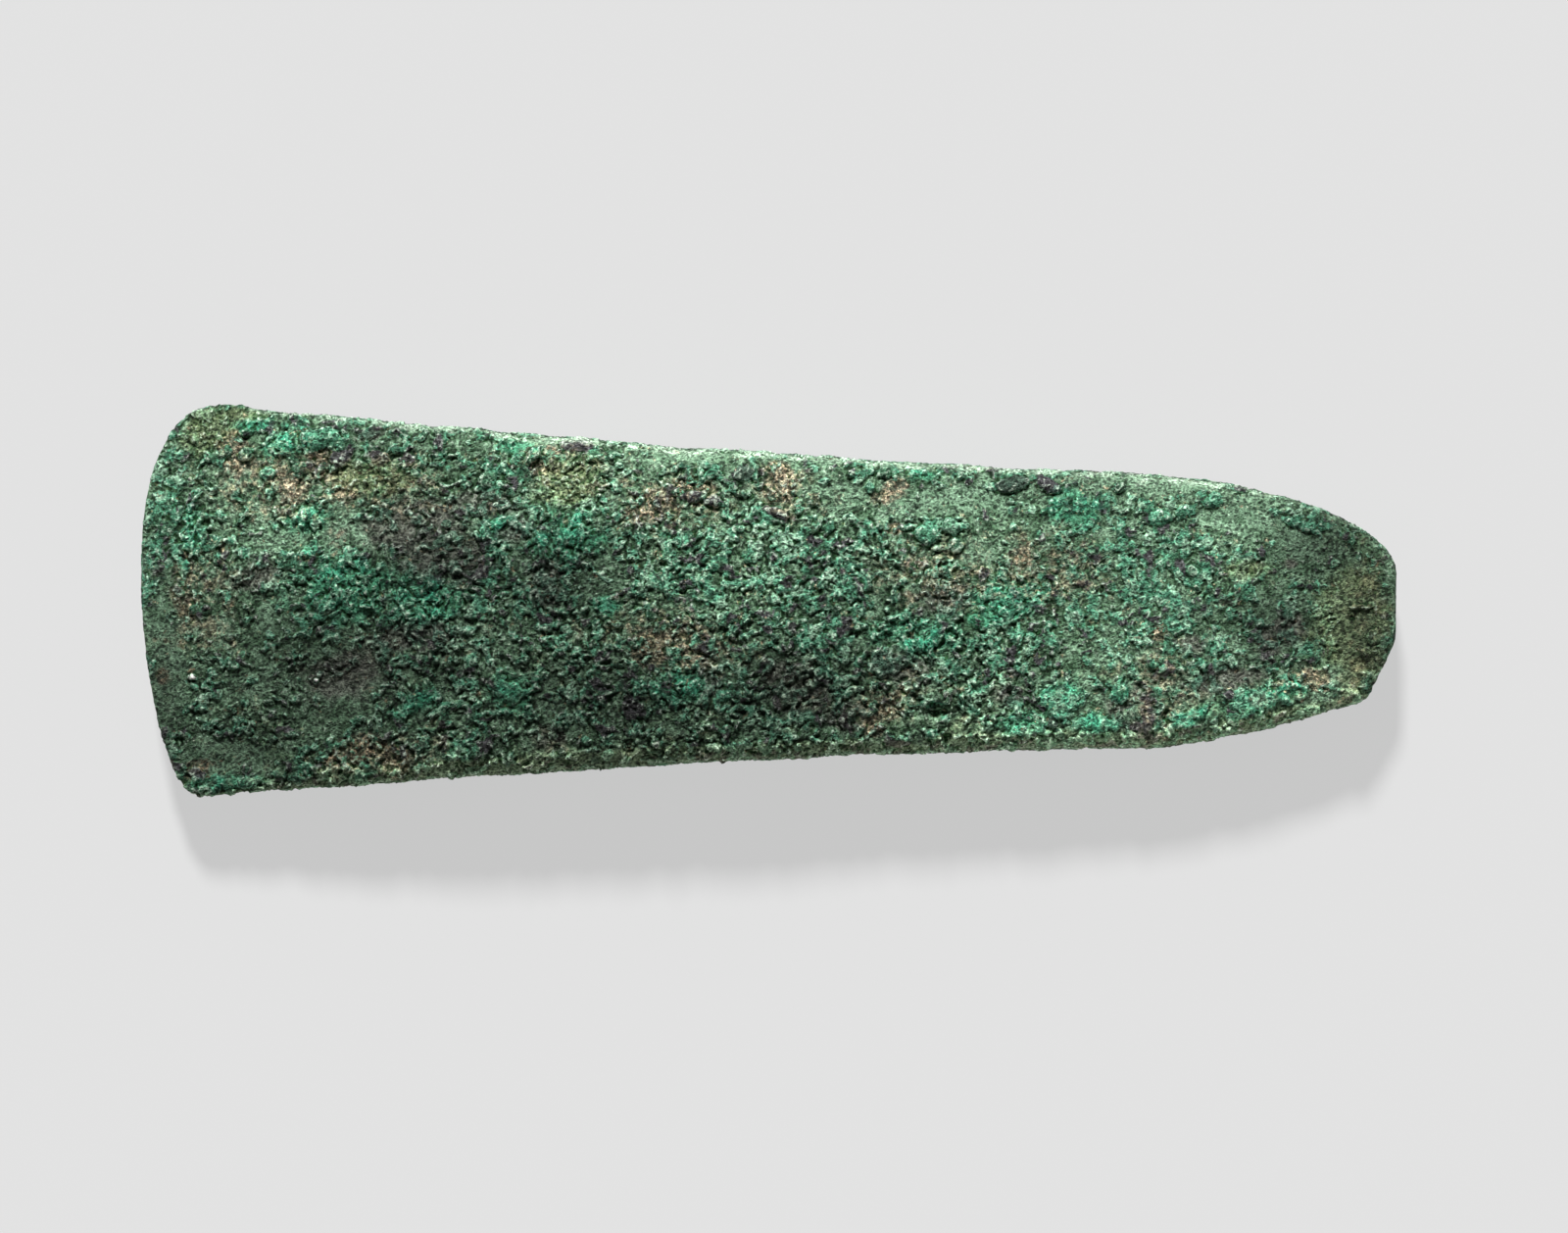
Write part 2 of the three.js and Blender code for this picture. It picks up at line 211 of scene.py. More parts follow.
# Broad lighter and darker passages: partly the patina's own, partly painted light on the upper side and
# painted shade on the lower left, where the face slopes toward and away from the lamp.
PALE_PASSAGES_AND_PAINTED_LIGHT = [
    (-60.0, 13.0, 12.0, 8.0, 0), (-22.0, 15.0, 16.0, 6.0, 0), (4.0, 12.0, 18.0, 7.0, 0),
    (24.0, 9.0, 12.0, 6.0, 0), (49.0, 7.0, 12.0, 7.0, 0), (34.0, -11.0, 12.0, 5.0, 0),
    (60.0, -11.0, 14.0, 5.0, 12), (40.0, -4.0, 16.0, 8.0, 0), (-5.0, 4.0, 12.0, 6.0, 0),
    (44.0, -13.0, 30.0, 6.0, 2),
]
DARK_PASSAGES_AND_PAINTED_SHADE = [
    (-48.0, -9.0, 20.0, 9.0, 0), (-20.0, -12.0, 20.0, 7.0, 0), (2.0, -11.0, 12.0, 6.0, 0),
    (-62.0, -18.0, 10.0, 6.0, 0), (-40.0, 4.0, 8.0, 4.0, 0), (-24.0, 3.0, 8.0, 6.0, 0),
    (60.0, -1.0, 5.0, 4.0, 0), (66.0, 8.0, 6.0, 4.0, 0), (71.0, -3.0, 3.0, 7.0, 0),
    (-72.0, -12.0, 3.0, 10.0, 0),
]
# Single lumps: an ellipse as above, then its height in mm and its tint, from 0 near black to 1 pale.
LUMPS = [
    (-53.5, 19.4, 2.5, 1.1, 10, 0.8, 0.45), (-58.4, 18.6, 1.5, 1.0, 20, 0.5, 0.5),
    (-66.0, 17.1, 1.7, 0.6, 25, 0.5, 0.3), (-51.2, 17.0, 1.2, 1.1, 0, 0.9, 0.02),
    (-46.5, 17.0, 1.2, 1.0, 0, 0.8, 0.02), (-48.8, 16.4, 0.9, 0.7, 0, 0.6, 0.3),
    (-55.9, 15.8, 1.0, 0.9, 0, 0.6, 0.3), (-59.8, 15.0, 0.9, 0.8, 0, 0.5, 0.45),
    (-62.4, 17.4, 0.9, 0.7, 30, 0.5, 0.35), (-55.4, 10.0, 1.6, 0.9, 25, 0.5, 0.7),
    (-33.5, 14.7, 1.2, 1.1, 0, 0.6, 0.3), (-42.0, 15.4, 0.7, 0.7, 0, 0.5, 0.5),
    (-71.4, 8.2, 1.2, 1.0, 60, 0.6, 0.25), (-32.4, 9.6, 1.3, 0.8, 20, 0.5, 0.5),
    (-22.9, 18.9, 2.0, 0.8, 0, 0.6, 0.03), (-28.2, 17.6, 1.6, 0.6, 50, 0.5, 0.3),
    (-9.4, 12.9, 1.8, 0.8, 15, 0.6, 0.04), (-6.7, 12.3, 0.9, 0.8, 0, 0.6, 0.03),
    (-3.1, 15.8, 1.3, 0.9, 0, 0.6, 0.2), (0.5, 11.2, 1.7, 0.6, -20, 0.6, 0.04),
    (5.1, 12.7, 1.4, 0.7, 30, 0.5, 0.3), (14.0, 16.2, 1.2, 0.8, 20, 0.6, 0.3),
    (-19.2, -0.2, 1.2, 1.0, 0, 0.5, 0.5), (18.8, 8.8, 1.4, 1.2, 0, 0.6, 0.45),
    (21.7, 9.8, 1.2, 1.0, 0, 0.5, 0.7), (22.2, 7.4, 1.0, 0.9, 0, 0.5, 0.35),
    (28.9, 14.9, 2.2, 0.9, 10, 0.6, 0.2), (33.2, 14.8, 1.6, 0.9, -20, 0.6, 0.04),
    (41.6, 14.6, 0.9, 0.7, 0, 0.5, 0.3), (46.5, 11.1, 1.5, 1.0, 15, 0.6, 0.6),
    (49.6, 11.9, 1.4, 0.7, 25, 0.5, 0.45), (52.9, 13.2, 1.3, 0.8, 20, 0.5, 0.6),
    (50.4, 4.7, 0.8, 0.7, 0, 0.5, 0.3),
    (70.3, 0.7, 1.5, 0.3, 5, 0.3, 0.2), (63.2, 10.4, 2.6, 0.5, -25, 0.3, 0.6),
    (72.4, -2.9, 1.0, 0.9, 0, 0.3, 0.5), (56.2, 14.6, 1.0, 0.4, 0, 0.5, 0.1),
    (-50.4, -22.6, 1.0, 0.6, 0, 0.6, 0.1), (-5.0, -10.6, 1.0, 0.8, 0, 0.4, 0.5),
    (34.8, -10.8, 2.2, 1.9, 0, 0.25, 0.75), (58.6, -10.5, 4.0, 1.1, 16, 0.3, 0.8),
    (50.2, -12.9, 2.6, 0.6, 28, 0.35, 0.85), (61.8, -8.8, 1.7, 0.6, 5, 0.3, 0.5),
    (39.0, -13.5, 2.8, 1.0, 0, 0.25, 0.6), (42.1, -9.9, 0.9, 1.2, 0, 0.4, 0.5),
    (-9.6, -9.4, 2.6, 1.3, 10, 0.25, 0.45), (-41.8, -11.9, 2.4, 0.8, 25, 0.3, 0.5),
    (-68.6, -9.3, 0.6, 0.4, -20, 0.35, 1.0), (-53.7, -9.3, 0.35, 0.3, 0, 0.3, 1.0),
    (-30.4, -10.6, 1.2, 1.0, 30, 0.4, 0.5), (-64.5, -21.7, 4.0, 0.5, 4, 0.3, 0.8),
]
# Round pits with a low rim: x, y, radius and depth in mm.
PITS = [
    (-16.2, -16.9, 1.1, 0.4), (20.3, -12.2, 1.5, 0.5), (21.5, -15.5, 0.8, 0.35),
    (47.6, -12.6, 1.0, 0.35), (-70.0, -17.0, 0.8, 0.35), (69.6, -0.6, 0.6, 0.25),
]
# The crust's fields that the material reads from the mesh.
FIELDS = (
    "charcoal", "earth", "emerald", "calm", "olive", "lamp_side_highlight", "rim", "dust", "tone", "tint", "lump", "proud",
)


def fade(low, high, value):
    """0 at low, 1 at high, level past both and smooth between."""
    t = np.clip((value - low) / (high - low), 0, 1)
    return t * t * (3 - 2 * t)


def random_keys(order, cells):
    """A number from 0 to 255 for each cell of space, the same each time."""
    key = order[cells[:, 0] & 255]
    key = order[(key + cells[:, 1]) & 255]
    return order[(key + cells[:, 2]) & 255]


def noise(places, span, seed):
    """Smooth noise from about -1 to 1, its features about span mm apart."""
    draws = np.random.default_rng(seed)
    order = draws.permutation(256)
    slopes = draws.normal(size=(256, 3))
    slopes /= np.linalg.norm(slopes, axis=1)[:, None]
    scaled = places / span
    cells = np.floor(scaled).astype(np.int64)
    inside = scaled - cells
    blend = inside**3 * (inside * (inside * 6 - 15) + 10)
    total = np.zeros(len(places))
    for corner in itertools.product((0, 1), repeat=3):
        weight = np.prod(np.where(corner, blend, 1 - blend), axis=1)
        slope = slopes[random_keys(order, cells + corner)]
        total += weight * ((inside - corner) * slope).sum(1)
    return 1.7 * total


def fractal(places, span, octaves, seed, gain=0.5):
    """Noise of several sizes, the largest span mm apart and each next one half of the last."""
    total, power = 0, 0
    for octave in range(octaves):
        strength = gain**octave
        total = total + strength * noise(places + 7.3 * octave, span / 2.03**octave, seed + octave)
        power += strength**2
    return total / math.sqrt(power)


def grains(places, cell, radii, density, seed):
    """Round grains, one to a cell of space and as many of them as density says, from 0 to 1.

    Gives each place the height in mm at which a grain covers it, and that grain's own random number."""
    draws = np.random.default_rng(seed)
    order = draws.permutation(256)
    offset = draws.uniform(0.1, 0.9, (256, 3))
    radius = draws.uniform(*radii, 256)
    luck = draws.uniform(size=256)
    tint = draws.uniform(size=256)
    cells = np.floor(places / cell).astype(np.int64)
    height, colour = np.zeros(len(places)), np.full(len(places), 0.5)
    for step in itertools.product((-1, 0, 1), repeat=3):
        key = random_keys(order, cells + step)
        away = np.linalg.norm(places - (cells + step + offset[key]) * cell, axis=1) / radius[key]
        rise = radius[key] * np.sqrt(np.clip(1 - away**2, 0, 1)) * fade(-0.04, 0.04, density - luck[key])
        covers = rise > height
        height = np.where(covers, rise, height)
        colour = np.where(covers, tint[key], colour)
    return height, colour


def patches(places, ellipses):
    """The strongest of the ellipses at each place: 1 at a centre, about a third at a rim, 0 far off."""
    strongest = np.zeros(len(places))
    for x, y, along, across, turn in ellipses:
        c, s = math.cos(math.radians(turn)), math.sin(math.radians(turn))
        u = ((places[:, 0] - x) * c + (places[:, 1] - y) * s) / along
        v = ((places[:, 1] - y) * c - (places[:, 0] - x) * s) / across
        strongest = np.maximum(strongest, np.exp(-u * u - v * v))
    return strongest


def numbers(items, name, width):
    """One property of every item as an array, width numbers to a row."""
    found = np.empty(len(items) * width, np.float32)
    items.foreach_get(name, found)
    return found.reshape(-1, width).astype(float)


def even_skin():
    """A copy of the CAD body with small even faces, as a mesh of its own."""
    body = bpy.data.objects.new("skin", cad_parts[NODE].data.copy())
    bpy.context.scene.collection.objects.link(body)
    remesh = body.modifiers.new("even faces", "REMESH")
    remesh.mode = "VOXEL"
    remesh.voxel_size = SKIN_VOXEL
    smooth = body.modifiers.new("no facets", "SMOOTH")
    smooth.factor = 0.5
    smooth.iterations = SKIN_SMOOTHING
    mesh = baked_mesh(body)
    bpy.data.objects.remove(body)
    return mesh


def baked_mesh(piece):
    """A new mesh of the piece with its modifiers applied."""
    depsgraph = bpy.context.evaluated_depsgraph_get()
    return bpy.data.meshes.new_from_object(piece.evaluated_get(depsgraph), depsgraph=depsgraph)


def smoothed(values, edges, rounds):
    """Values averaged with their neighbours' along the mesh, again and again."""
    ends = np.concatenate([edges, edges[:, ::-1]])
    neighbours = np.bincount(ends[:, 0], minlength=len(values))
    for _ in range(rounds):
        total = np.bincount(ends[:, 0], weights=values[ends[:, 1]], minlength=len(values))
        values = 0.5 * values + 0.5 * total / neighbours
    return values


class Crust:
    """The crust at places on the bare body: its height in mm, and masks from 0 to 1."""

    def __init__(self, places, normals, edges):
        self.places = places
        self.upper = fade(-0.1, 0.4, normals[:, 2])
        coarse = np.stack([noise(places, 4.5, seed) for seed in (11, 12, 13)], axis=1)
        fine = np.stack([noise(places, 1.3, seed) for seed in (21, 22, 23)], axis=1)
        self.near = places + 0.24 * fine
        self.warped = self.near + 0.7 * coarse
        self.ragged = fractal(self.warped, 3.6, 5, 41, gain=0.78)
        self.dusty = patches(places, DUSTY) * self.upper
        self.charcoal = self.mask(CHARCOAL, 51, broken=0.4, scattered=0.06 + 0.1 * self.dusty)
        self.earth = self.mask(EARTH, 61, broken=0.5, scattered=0.14 * self.dusty)
        self.emerald = self.mask(EMERALD, 71, broken=0.5, scattered=0.06)
        self.calm = self.mask(CALM, 81, broken=0.3)
        self.olive = self.mask(OLIVE, 91, broken=0.3)
        # The lower rim, facing away from the lamp: the material lifts it with painted light besides its own
        # tan.
        self.rim = fade(0.1, 0.55, 0.35 * self.ragged - normals[:, 1]) * fade(-0.3, 0.2, normals[:, 2])
        # Painted highlight where the upper edge turns toward the lamp.
        self.lamp_side_highlight = fade(0.68, 1.1, normals[:, 1] + 0.3 * self.ragged) * fade(0.0, 0.3, normals[:, 2])
        self.dust = fade(0.2, 0.75, self.dusty + 0.3 * self.ragged)
        self.sandy = patches(places, SANDY) * self.upper
        # Painted light and shade mixed with the patina's own passages: lighter on the upper side, darker on
        # the lower left.
        self.tone = 0.5 + self.upper * (0.45 * patches(places, PALE_PASSAGES_AND_PAINTED_LIGHT) - 0.42 * patches(places, DARK_PASSAGES_AND_PAINTED_SHADE))
        # Painted shade: darker where the surface turns away from upward, on the sides and underside.
        self.tone -= 0.12 * (1 - self.upper)
        self.raise_crust()
        broad = smoothed(self.height, edges, 8)
        self.proud = np.clip(0.5 + 3.2 * (self.height - broad), 0, 1)

    def mask(self, ellipses, seed, broken, scattered=0):
        """Listed patches and stray spots on the upper face, random patches elsewhere."""
        placed = patches(self.places, ellipses) - 0.42 + scattered
        random = 0.5 * fractal(self.warped, 8.0, 3, seed) - 0.3
        field = self.upper * placed + (1 - self.upper) * random
        return fade(-0.16, 0.26, field + broken * self.ragged)

    def raise_crust(self):
        """The height, and the fields that go with it: grain, lump and tint."""
        flow = turned(self.warped, RELIEF_TURN) * RELIEF_SCALE
        crowd = 0.55 + 0.2 * noise(self.places, 11.0, 101) - 0.4 * self.calm - 0.24 * self.sandy
        rough = 1 - 0.7 * self.calm
        islands = fractal(flow, 1.6, 3, 111, gain=0.7)
        crumbs = fade(0.48 - crowd, 0.66 - crowd, 0.75 * islands)
        small = fractal(self.warped, 0.72, 2, 121, gain=0.7)
        small_crumbs = fade(0.52 - crowd, 0.76 - crowd, 0.7 * small)
        billow = np.abs(noise(self.warped, 0.9, 131))
        crests = np.clip(1 - 1.6 * np.abs(fractal(flow, 1.1, 2, 191, gain=0.7)), 0, 1)
        nodules, tint = grains(self.warped, NODULE_CELL, NODULE_RADII, 0.5 * crowd, 141)
        self.grain = 0.3 * billow + 0.12 * crests
        lumps = ISLAND_HEIGHT * crumbs * (0.6 + 0.8 * billow) + CRUMB_HEIGHT * small_crumbs
        lumps += CREST_HEIGHT * crests * rough
        self.lump = fade(0.12, 0.36, lumps + 0.6 * nodules)
        random = fade(-0.8, 0.8, fractal(self.warped, 2.2, 3, 151, gain=0.7))
        self.tint = 0.94 * np.where(nodules > 0.25, tint, random) * (1 - 0.3 * self.dusty)
        plates = fade(0.1, 0.22, fractal(self.warped, 6.5, 5, 171, gain=0.62))
        plates = PLATE_HEIGHT * plates * (0.3 + 0.7 * rough)
        self.height = self.swell(flow) + lumps + NODULE_SHOWING * nodules + plates
        self.height += (0.03 + 0.05 * rough) * noise(self.warped, 0.55, 181)
        zones = EMERALD_HEIGHT * self.emerald * rough - CHARCOAL_DEPTH * self.charcoal
        self.height += zones - EARTH_DEPTH * self.earth
        self.height *= 1 - 0.35 * fade(*LOWER_CRUST, self.places[:, 0]) * self.upper
        self.place_lumps()
        self.place_pits()

    def swell(self, flow):
        """Broad swells, with wrinkles where the ground is low and fine."""
        swell = SWELL_HEIGHT * fractal(self.places, 7.0, 2, 161)
        wrinkles = 1 - 2.2 * np.abs(fractal(flow * WRINKLE_SCALE, 1.6, 2, 201, gain=0.6))
        right = fade(*WRINKLED, self.places[:, 0]) * self.upper
        return swell + WRINKLE_HEIGHT * np.clip(wrinkles, 0, 1) * np.maximum(self.calm, right)

    def place_lumps(self):
        """Sets each single lump on the crust, as a ragged dome with a tint of its own."""
        for x, y, along, across, turn, height, tint in LUMPS:
            c, s = math.cos(math.radians(turn)), math.sin(math.radians(turn))
            u = ((self.near[:, 0] - x) * c + (self.near[:, 1] - y) * s) / along
            v = ((self.near[:, 1] - y) * c - (self.near[:, 0] - x) * s) / across
            dome = np.sqrt(np.clip(1.0 + 0.6 * self.ragged - u * u - v * v, 0, 1))
            dome *= fade(0.0, 0.3, self.upper)
            top = dome * (height * (0.7 + 0.3 * self.ragged) + self.grain)
            covers = (dome > 0.1) & (top + 0.1 > self.height - 0.25)
            self.height = np.where(covers, np.maximum(self.height, top + 0.15), self.height)
            self.tint = np.where(covers, tint, self.tint)
            self.lump = np.where(covers, 1.0, self.lump)
            self.charcoal = np.where(covers, 0.0, self.charcoal)
            self.earth = np.where(covers, 0.0, self.earth)

    def place_pits(self):
        """Sinks the pits into the crust, each with its rim."""
        for x, y, radius, depth in PITS:
            away = np.hypot(self.near[:, 0] - x, self.near[:, 1] - y) / radius
            bowl = fade(1.0, 0.5, away) * self.upper
            rim = np.exp(-(((away - 1.15) / 0.22) ** 2)) * self.upper
            self.height += 0.3 * depth * rim - depth * bowl


def turned(places, degrees):
    """The places in axes turned this much about Z."""
    c, s = math.cos(math.radians(degrees)), math.sin(math.radians(degrees))
    x, y, z = places.T
    return np.stack([x * c + y * s, y * c - x * s, z], axis=1)


def axe_head():
    """The visible axe head: the even skin raised by the crust, within the triangle limit."""
    mesh = even_skin()
    places = numbers(mesh.vertices, "co", 3) / MM
    normals = numbers(mesh.vertex_normals, "vector", 3)
    edges = np.empty(len(mesh.edges) * 2, np.int32)
    mesh.edges.foreach_get("vertices", edges)
    crust = Crust(places, normals, edges.reshape(-1, 2))
    ends = fade(*EDGE_THINNING, places[:, 0] - TIP_X) * fade(*BUTT_THINNING, BUTT_X - places[:, 0])
    thin = (0.25 + 0.75 * ends) * (0.45 + 0.55 * crust.upper)
    raised = places + normals * (thin * (crust.height - SINKING))[:, None]
    raised[:, 2] = np.maximum(raised[:, 2], 0.0)
    mesh.vertices.foreach_set("co", (raised * MM).astype(np.float32).ravel())
    for name in FIELDS:
        write(mesh, name, getattr(crust, name))
    mesh.update()

    piece = bpy.data.objects.new("axe_head_crust", mesh)
    bpy.context.scene.collection.objects.link(piece)
    below = piece.vertex_groups.new(name="below")
    below.add(np.flatnonzero(crust.upper < 0.05).tolist(), 1.0, "REPLACE")
    thin_out(piece, 1 - UNDERSIDE_THINNING * np.mean(crust.upper < 0.05), "below")
    piece.data.calc_loop_triangles()
    thin_out(piece, MOST_TRIANGLES / len(piece.data.loop_triangles), "")
    piece.data.shade_smooth()
    return piece


def thin_out(piece, share, group):
    """Leaves this share of the faces, the flattest going first, and those of the group before others."""
    thinning = piece.modifiers.new("fewer faces", "DECIMATE")
    thinning.ratio = min(1.0, share)
    thinning.vertex_group = group
    thinner = baked_mesh(piece)
    piece.modifiers.clear()
    piece.data = thinner


def write(mesh, name, values):
    """Keeps a number for each vertex on the mesh, under this name."""
    attribute = mesh.attributes.new(name, "FLOAT", "POINT")
    attribute.data.foreach_set("value", values.astype(np.float32))


class Material:
    """A node material under construction, with short words for its common nodes."""

    def __init__(self, name):
        self.material = bpy.data.materials.new(name)
        self.material.use_nodes = True
        self.nodes = self.material.node_tree.nodes
        self.links = self.material.node_tree.links
        self.shader = self.nodes["Principled BSDF"]
        self.place = self.nodes.new("ShaderNodeTexCoord").outputs["Object"]

    def put(self, value, socket):
        """Links an output to a socket, or sets a plain value on it."""
        if isinstance(value, bpy.types.NodeSocket):
            self.links.new(value, socket)
        elif isinstance(value, tuple):
            socket.default_value = (*value, 1)
        else:
            socket.default_value = value

    def attribute(self, name):
        node = self.nodes.new("ShaderNodeAttribute")
        node.attribute_name = name
        return node.outputs["Fac"]

    def math(self, operation, *values):
        node = self.nodes.new("ShaderNodeMath")
        node.operation = operation
        for socket, value in zip(node.inputs, values):
            self.put(value, socket)
        return node.outputs["Value"]

    def spread(self, value, low, high, to_low=0.0, to_high=1.0):
        """The value carried from low..high to to_low..to_high, smoothly and not past them."""
        node = self.nodes.new("ShaderNodeMapRange")
        node.interpolation_type = "SMOOTHSTEP"
        self.put(value, node.inputs["Value"])
        names = ("From Min", "From Max", "To Min", "To Max")
        for name, limit in zip(names, (low, high, to_low, to_high)):
            node.inputs[name].default_value = limit
        return node.outputs["Result"]

    def noise(self, span, detail=3.0, roughness=0.6, shift=0.0):
        """Noise in the object's own space, 0 to 1, its largest features about span mm apart."""
        move = self.nodes.new("ShaderNodeMapping")
        move.inputs["Location"].default_value = (shift, shift, shift)
        self.links.new(self.place, move.inputs["Vector"])
        node = self.nodes.new("ShaderNodeTexNoise")
        node.inputs["Scale"].default_value = 1 / (span * MM)
        node.inputs["Detail"].default_value = detail
        node.inputs["Roughness"].default_value = roughness
        self.links.new(move.outputs["Vector"], node.inputs["Vector"])
        return node.outputs["Fac"]

    def ridges(self, span, detail, shift):
        """Noise of sharp branching ridges drawn out along the grain, about 0.5 between and 2 on them."""
        ridged = self.noise(span, detail, 0.65, shift)
        ridged.node.noise_type = "RIDGED_MULTIFRACTAL"
        ridged.node.inputs["Offset"].default_value = 1
        ridged.node.inputs["Gain"].default_value = 2
        move = ridged.node.inputs["Vector"].links[0].from_node
        move.vector_type = "TEXTURE"
        move.inputs["Rotation"].default_value = (0, 0, math.radians(GRAIN_TURN))
        move.inputs["Scale"].default_value = (GRAIN_STRETCH, 1, 1)
        return ridged

    def mix(self, below, above, share, blend="MIX"):
        node = self.nodes.new("ShaderNodeMix")
        node.data_type = "RGBA"
        node.blend_type = blend
        sockets = {socket.identifier: socket for socket in node.inputs}
        self.put(below, sockets["A_Color"])
        self.put(above, sockets["B_Color"])
        self.put(share, sockets["Factor_Float"])
        return next(out for out in node.outputs if out.identifier == "Result_Color")


def crust_material():
    """Crust over finer ground, with soil in its hollows, painted highlights on its crests and painted shade
    in its creases.
    """
    m = Material("corroded bronze")
    grit = m.noise(0.5, 3, 0.7, shift=1)
    grain = m.noise(0.3, 2, 0.7, shift=10)
    coarse = m.spread(m.noise(2.2, 4), 0.36, 0.64)
    fine = m.spread(grit, 0.32, 0.68)
    crease = m.spread(m.ridges(1.1, 4, shift=2), 0.7, 1.9)
    small_crease = m.spread(m.ridges(0.5, 2, shift=6), 0.6, 1.5)

    earth = earth_colour(m, fine)
    lump = m.spread(m.math("ADD", m.attribute("lump"), m.math("MULTIPLY", fine, 0.4)), 0.55, 0.8)
    colour = m.mix(ground_colour(m, coarse, earth), raised_colour(m, coarse), lump)
    colour = coated(m, colour)
    colour = flecked(m, colour, earth, crease, small_crease)
    colour = shaded(m, colour, crease, small_crease, grit, grain)
    m.put(colour, m.shader.inputs["Base Color"])
    m.put(m.spread(fine, 0.0, 1.0, 0.9, 0.65), m.shader.inputs["Roughness"])
    m.put(0.18, m.shader.inputs["Specular IOR Level"])
    add_fine_relief(m, crease, small_crease, grit, grain)
    return m.material


def earth_colour(m, fine):
    """Soil, cream in the lighter passages and browner in the darker ones, which are partly painted light
    and shade.
    """
    cream = m.math("MULTIPLY", fine, m.spread(m.attribute("tone"), 0.2, 0.9, 0.25, 1.0))
    return m.mix(EARTH_DARK, EARTH_CREAM, cream)


def ground_colour(m, coarse, earth):
    """The low ground between the lumps."""
    ground = m.mix(GROUND_DARK, GROUND_LIGHT, coarse)
    ground = m.mix(ground, GROUND_CALM, m.math("MULTIPLY", m.attribute("calm"), 0.5))
    ground = m.mix(ground, GROUND_EMERALD, m.math("MULTIPLY", m.attribute("emerald"), 0.6))
    ground = m.mix(ground, GROUND_CHARCOAL, m.math("MULTIPLY", m.attribute("charcoal"), 0.7))
    ground = m.mix(ground, EARTH_STAIN, m.math("MULTIPLY", m.spread(m.attribute("earth"), 0.0, 0.4), 0.6))
    held = m.spread(m.noise(0.7, 4, 0.85, shift=7), 0.48, 0.58)
    return m.mix(ground, earth, m.math("MULTIPLY", m.attribute("earth"), held))


def raised_colour(m, coarse):
    """The raised crust: each lump near black, dark, mid or pale green by its own tint."""
    raised = m.mix(LUMP_DARK, LUMP_MID, m.spread(m.attribute("tint"), 0.3, 0.5))
    raised = m.mix(raised, LUMP_PALE, m.spread(m.attribute("tint"), 0.55, 0.85))
    raised = m.mix(LUMP_BLACK, raised, m.spread(m.attribute("tint"), 0.15, 0.25))
    raised = m.mix(raised, LUMP_EMERALD, m.math("MULTIPLY", m.attribute("emerald"), coarse))
    return m.mix(raised, LUMP_CHARCOAL, m.math("MULTIPLY", m.attribute("charcoal"), 0.5))


def coated(m, colour):
    """The colour under thin coats: dust and olive patina, a painted highlight on the upper edge that faces
    the lamp, and a tan on the lower rim that is partly its own and partly painted light.
    """
    dust = m.mix(DUST_DARK, DUST_LIGHT, m.spread(m.noise(0.7, 3, 0.7, shift=8), 0.4, 0.6))
    dusting = m.spread(m.noise(1.4, 4, 0.75, shift=9), 0.46, 0.6)
    dusting = m.math("MULTIPLY", m.math("MULTIPLY", m.attribute("dust"), dusting), 0.6)
    colour = m.mix(colour, dust, dusting)
    colour = m.mix(colour, OLIVE_GREEN, m.math("MULTIPLY", m.attribute("olive"), 0.5))
    # Painted highlight on the upper edge that faces the lamp.
    colour = m.mix(colour, LAMP_SIDE_HIGHLIGHT, m.math("MULTIPLY", m.attribute("lamp_side_highlight"), 0.75))
    # The lower rim's tan, partly its own colour and partly painted light.
    return m.mix(colour, TAN_RIM_AND_PAINTED_LIGHT, m.math("MULTIPLY", m.attribute("rim"), 0.3))


def flecked(m, colour, earth, crease, small_crease):
    """The colour with soil flecks in hollows, painted highlights on the crests, white chips and pale
    specks.
    """
    flecks = m.spread(m.noise(1.3, 4, 0.75, shift=3), 0.6, 0.68)
    hollow = m.spread(m.attribute("proud"), 0.55, 0.35)
    colour = m.mix(colour, earth, m.math("MULTIPLY", flecks, hollow))
    # Painted highlight on proud crests and their ridges.
    crest_highlight = m.math("ADD", m.attribute("proud"), m.math("MULTIPLY", crease, 0.25))
    crest_highlight = m.math("MULTIPLY", m.spread(crest_highlight, 0.82, 1.2), m.spread(small_crease, 0.2, 0.9, 0.05, 0.5))
    colour = m.mix(colour, CREST_PAINTED_HIGHLIGHT, crest_highlight)
    colour = m.mix(colour, CHIP_WHITE, m.spread(m.attribute("tint"), 0.96, 0.99))
    specks = m.spread(m.noise(0.8, 3, 0.8, shift=4), 0.66, 0.72)
    return m.mix(colour, SPECK_PALE, m.math("MULTIPLY", specks, 0.5))


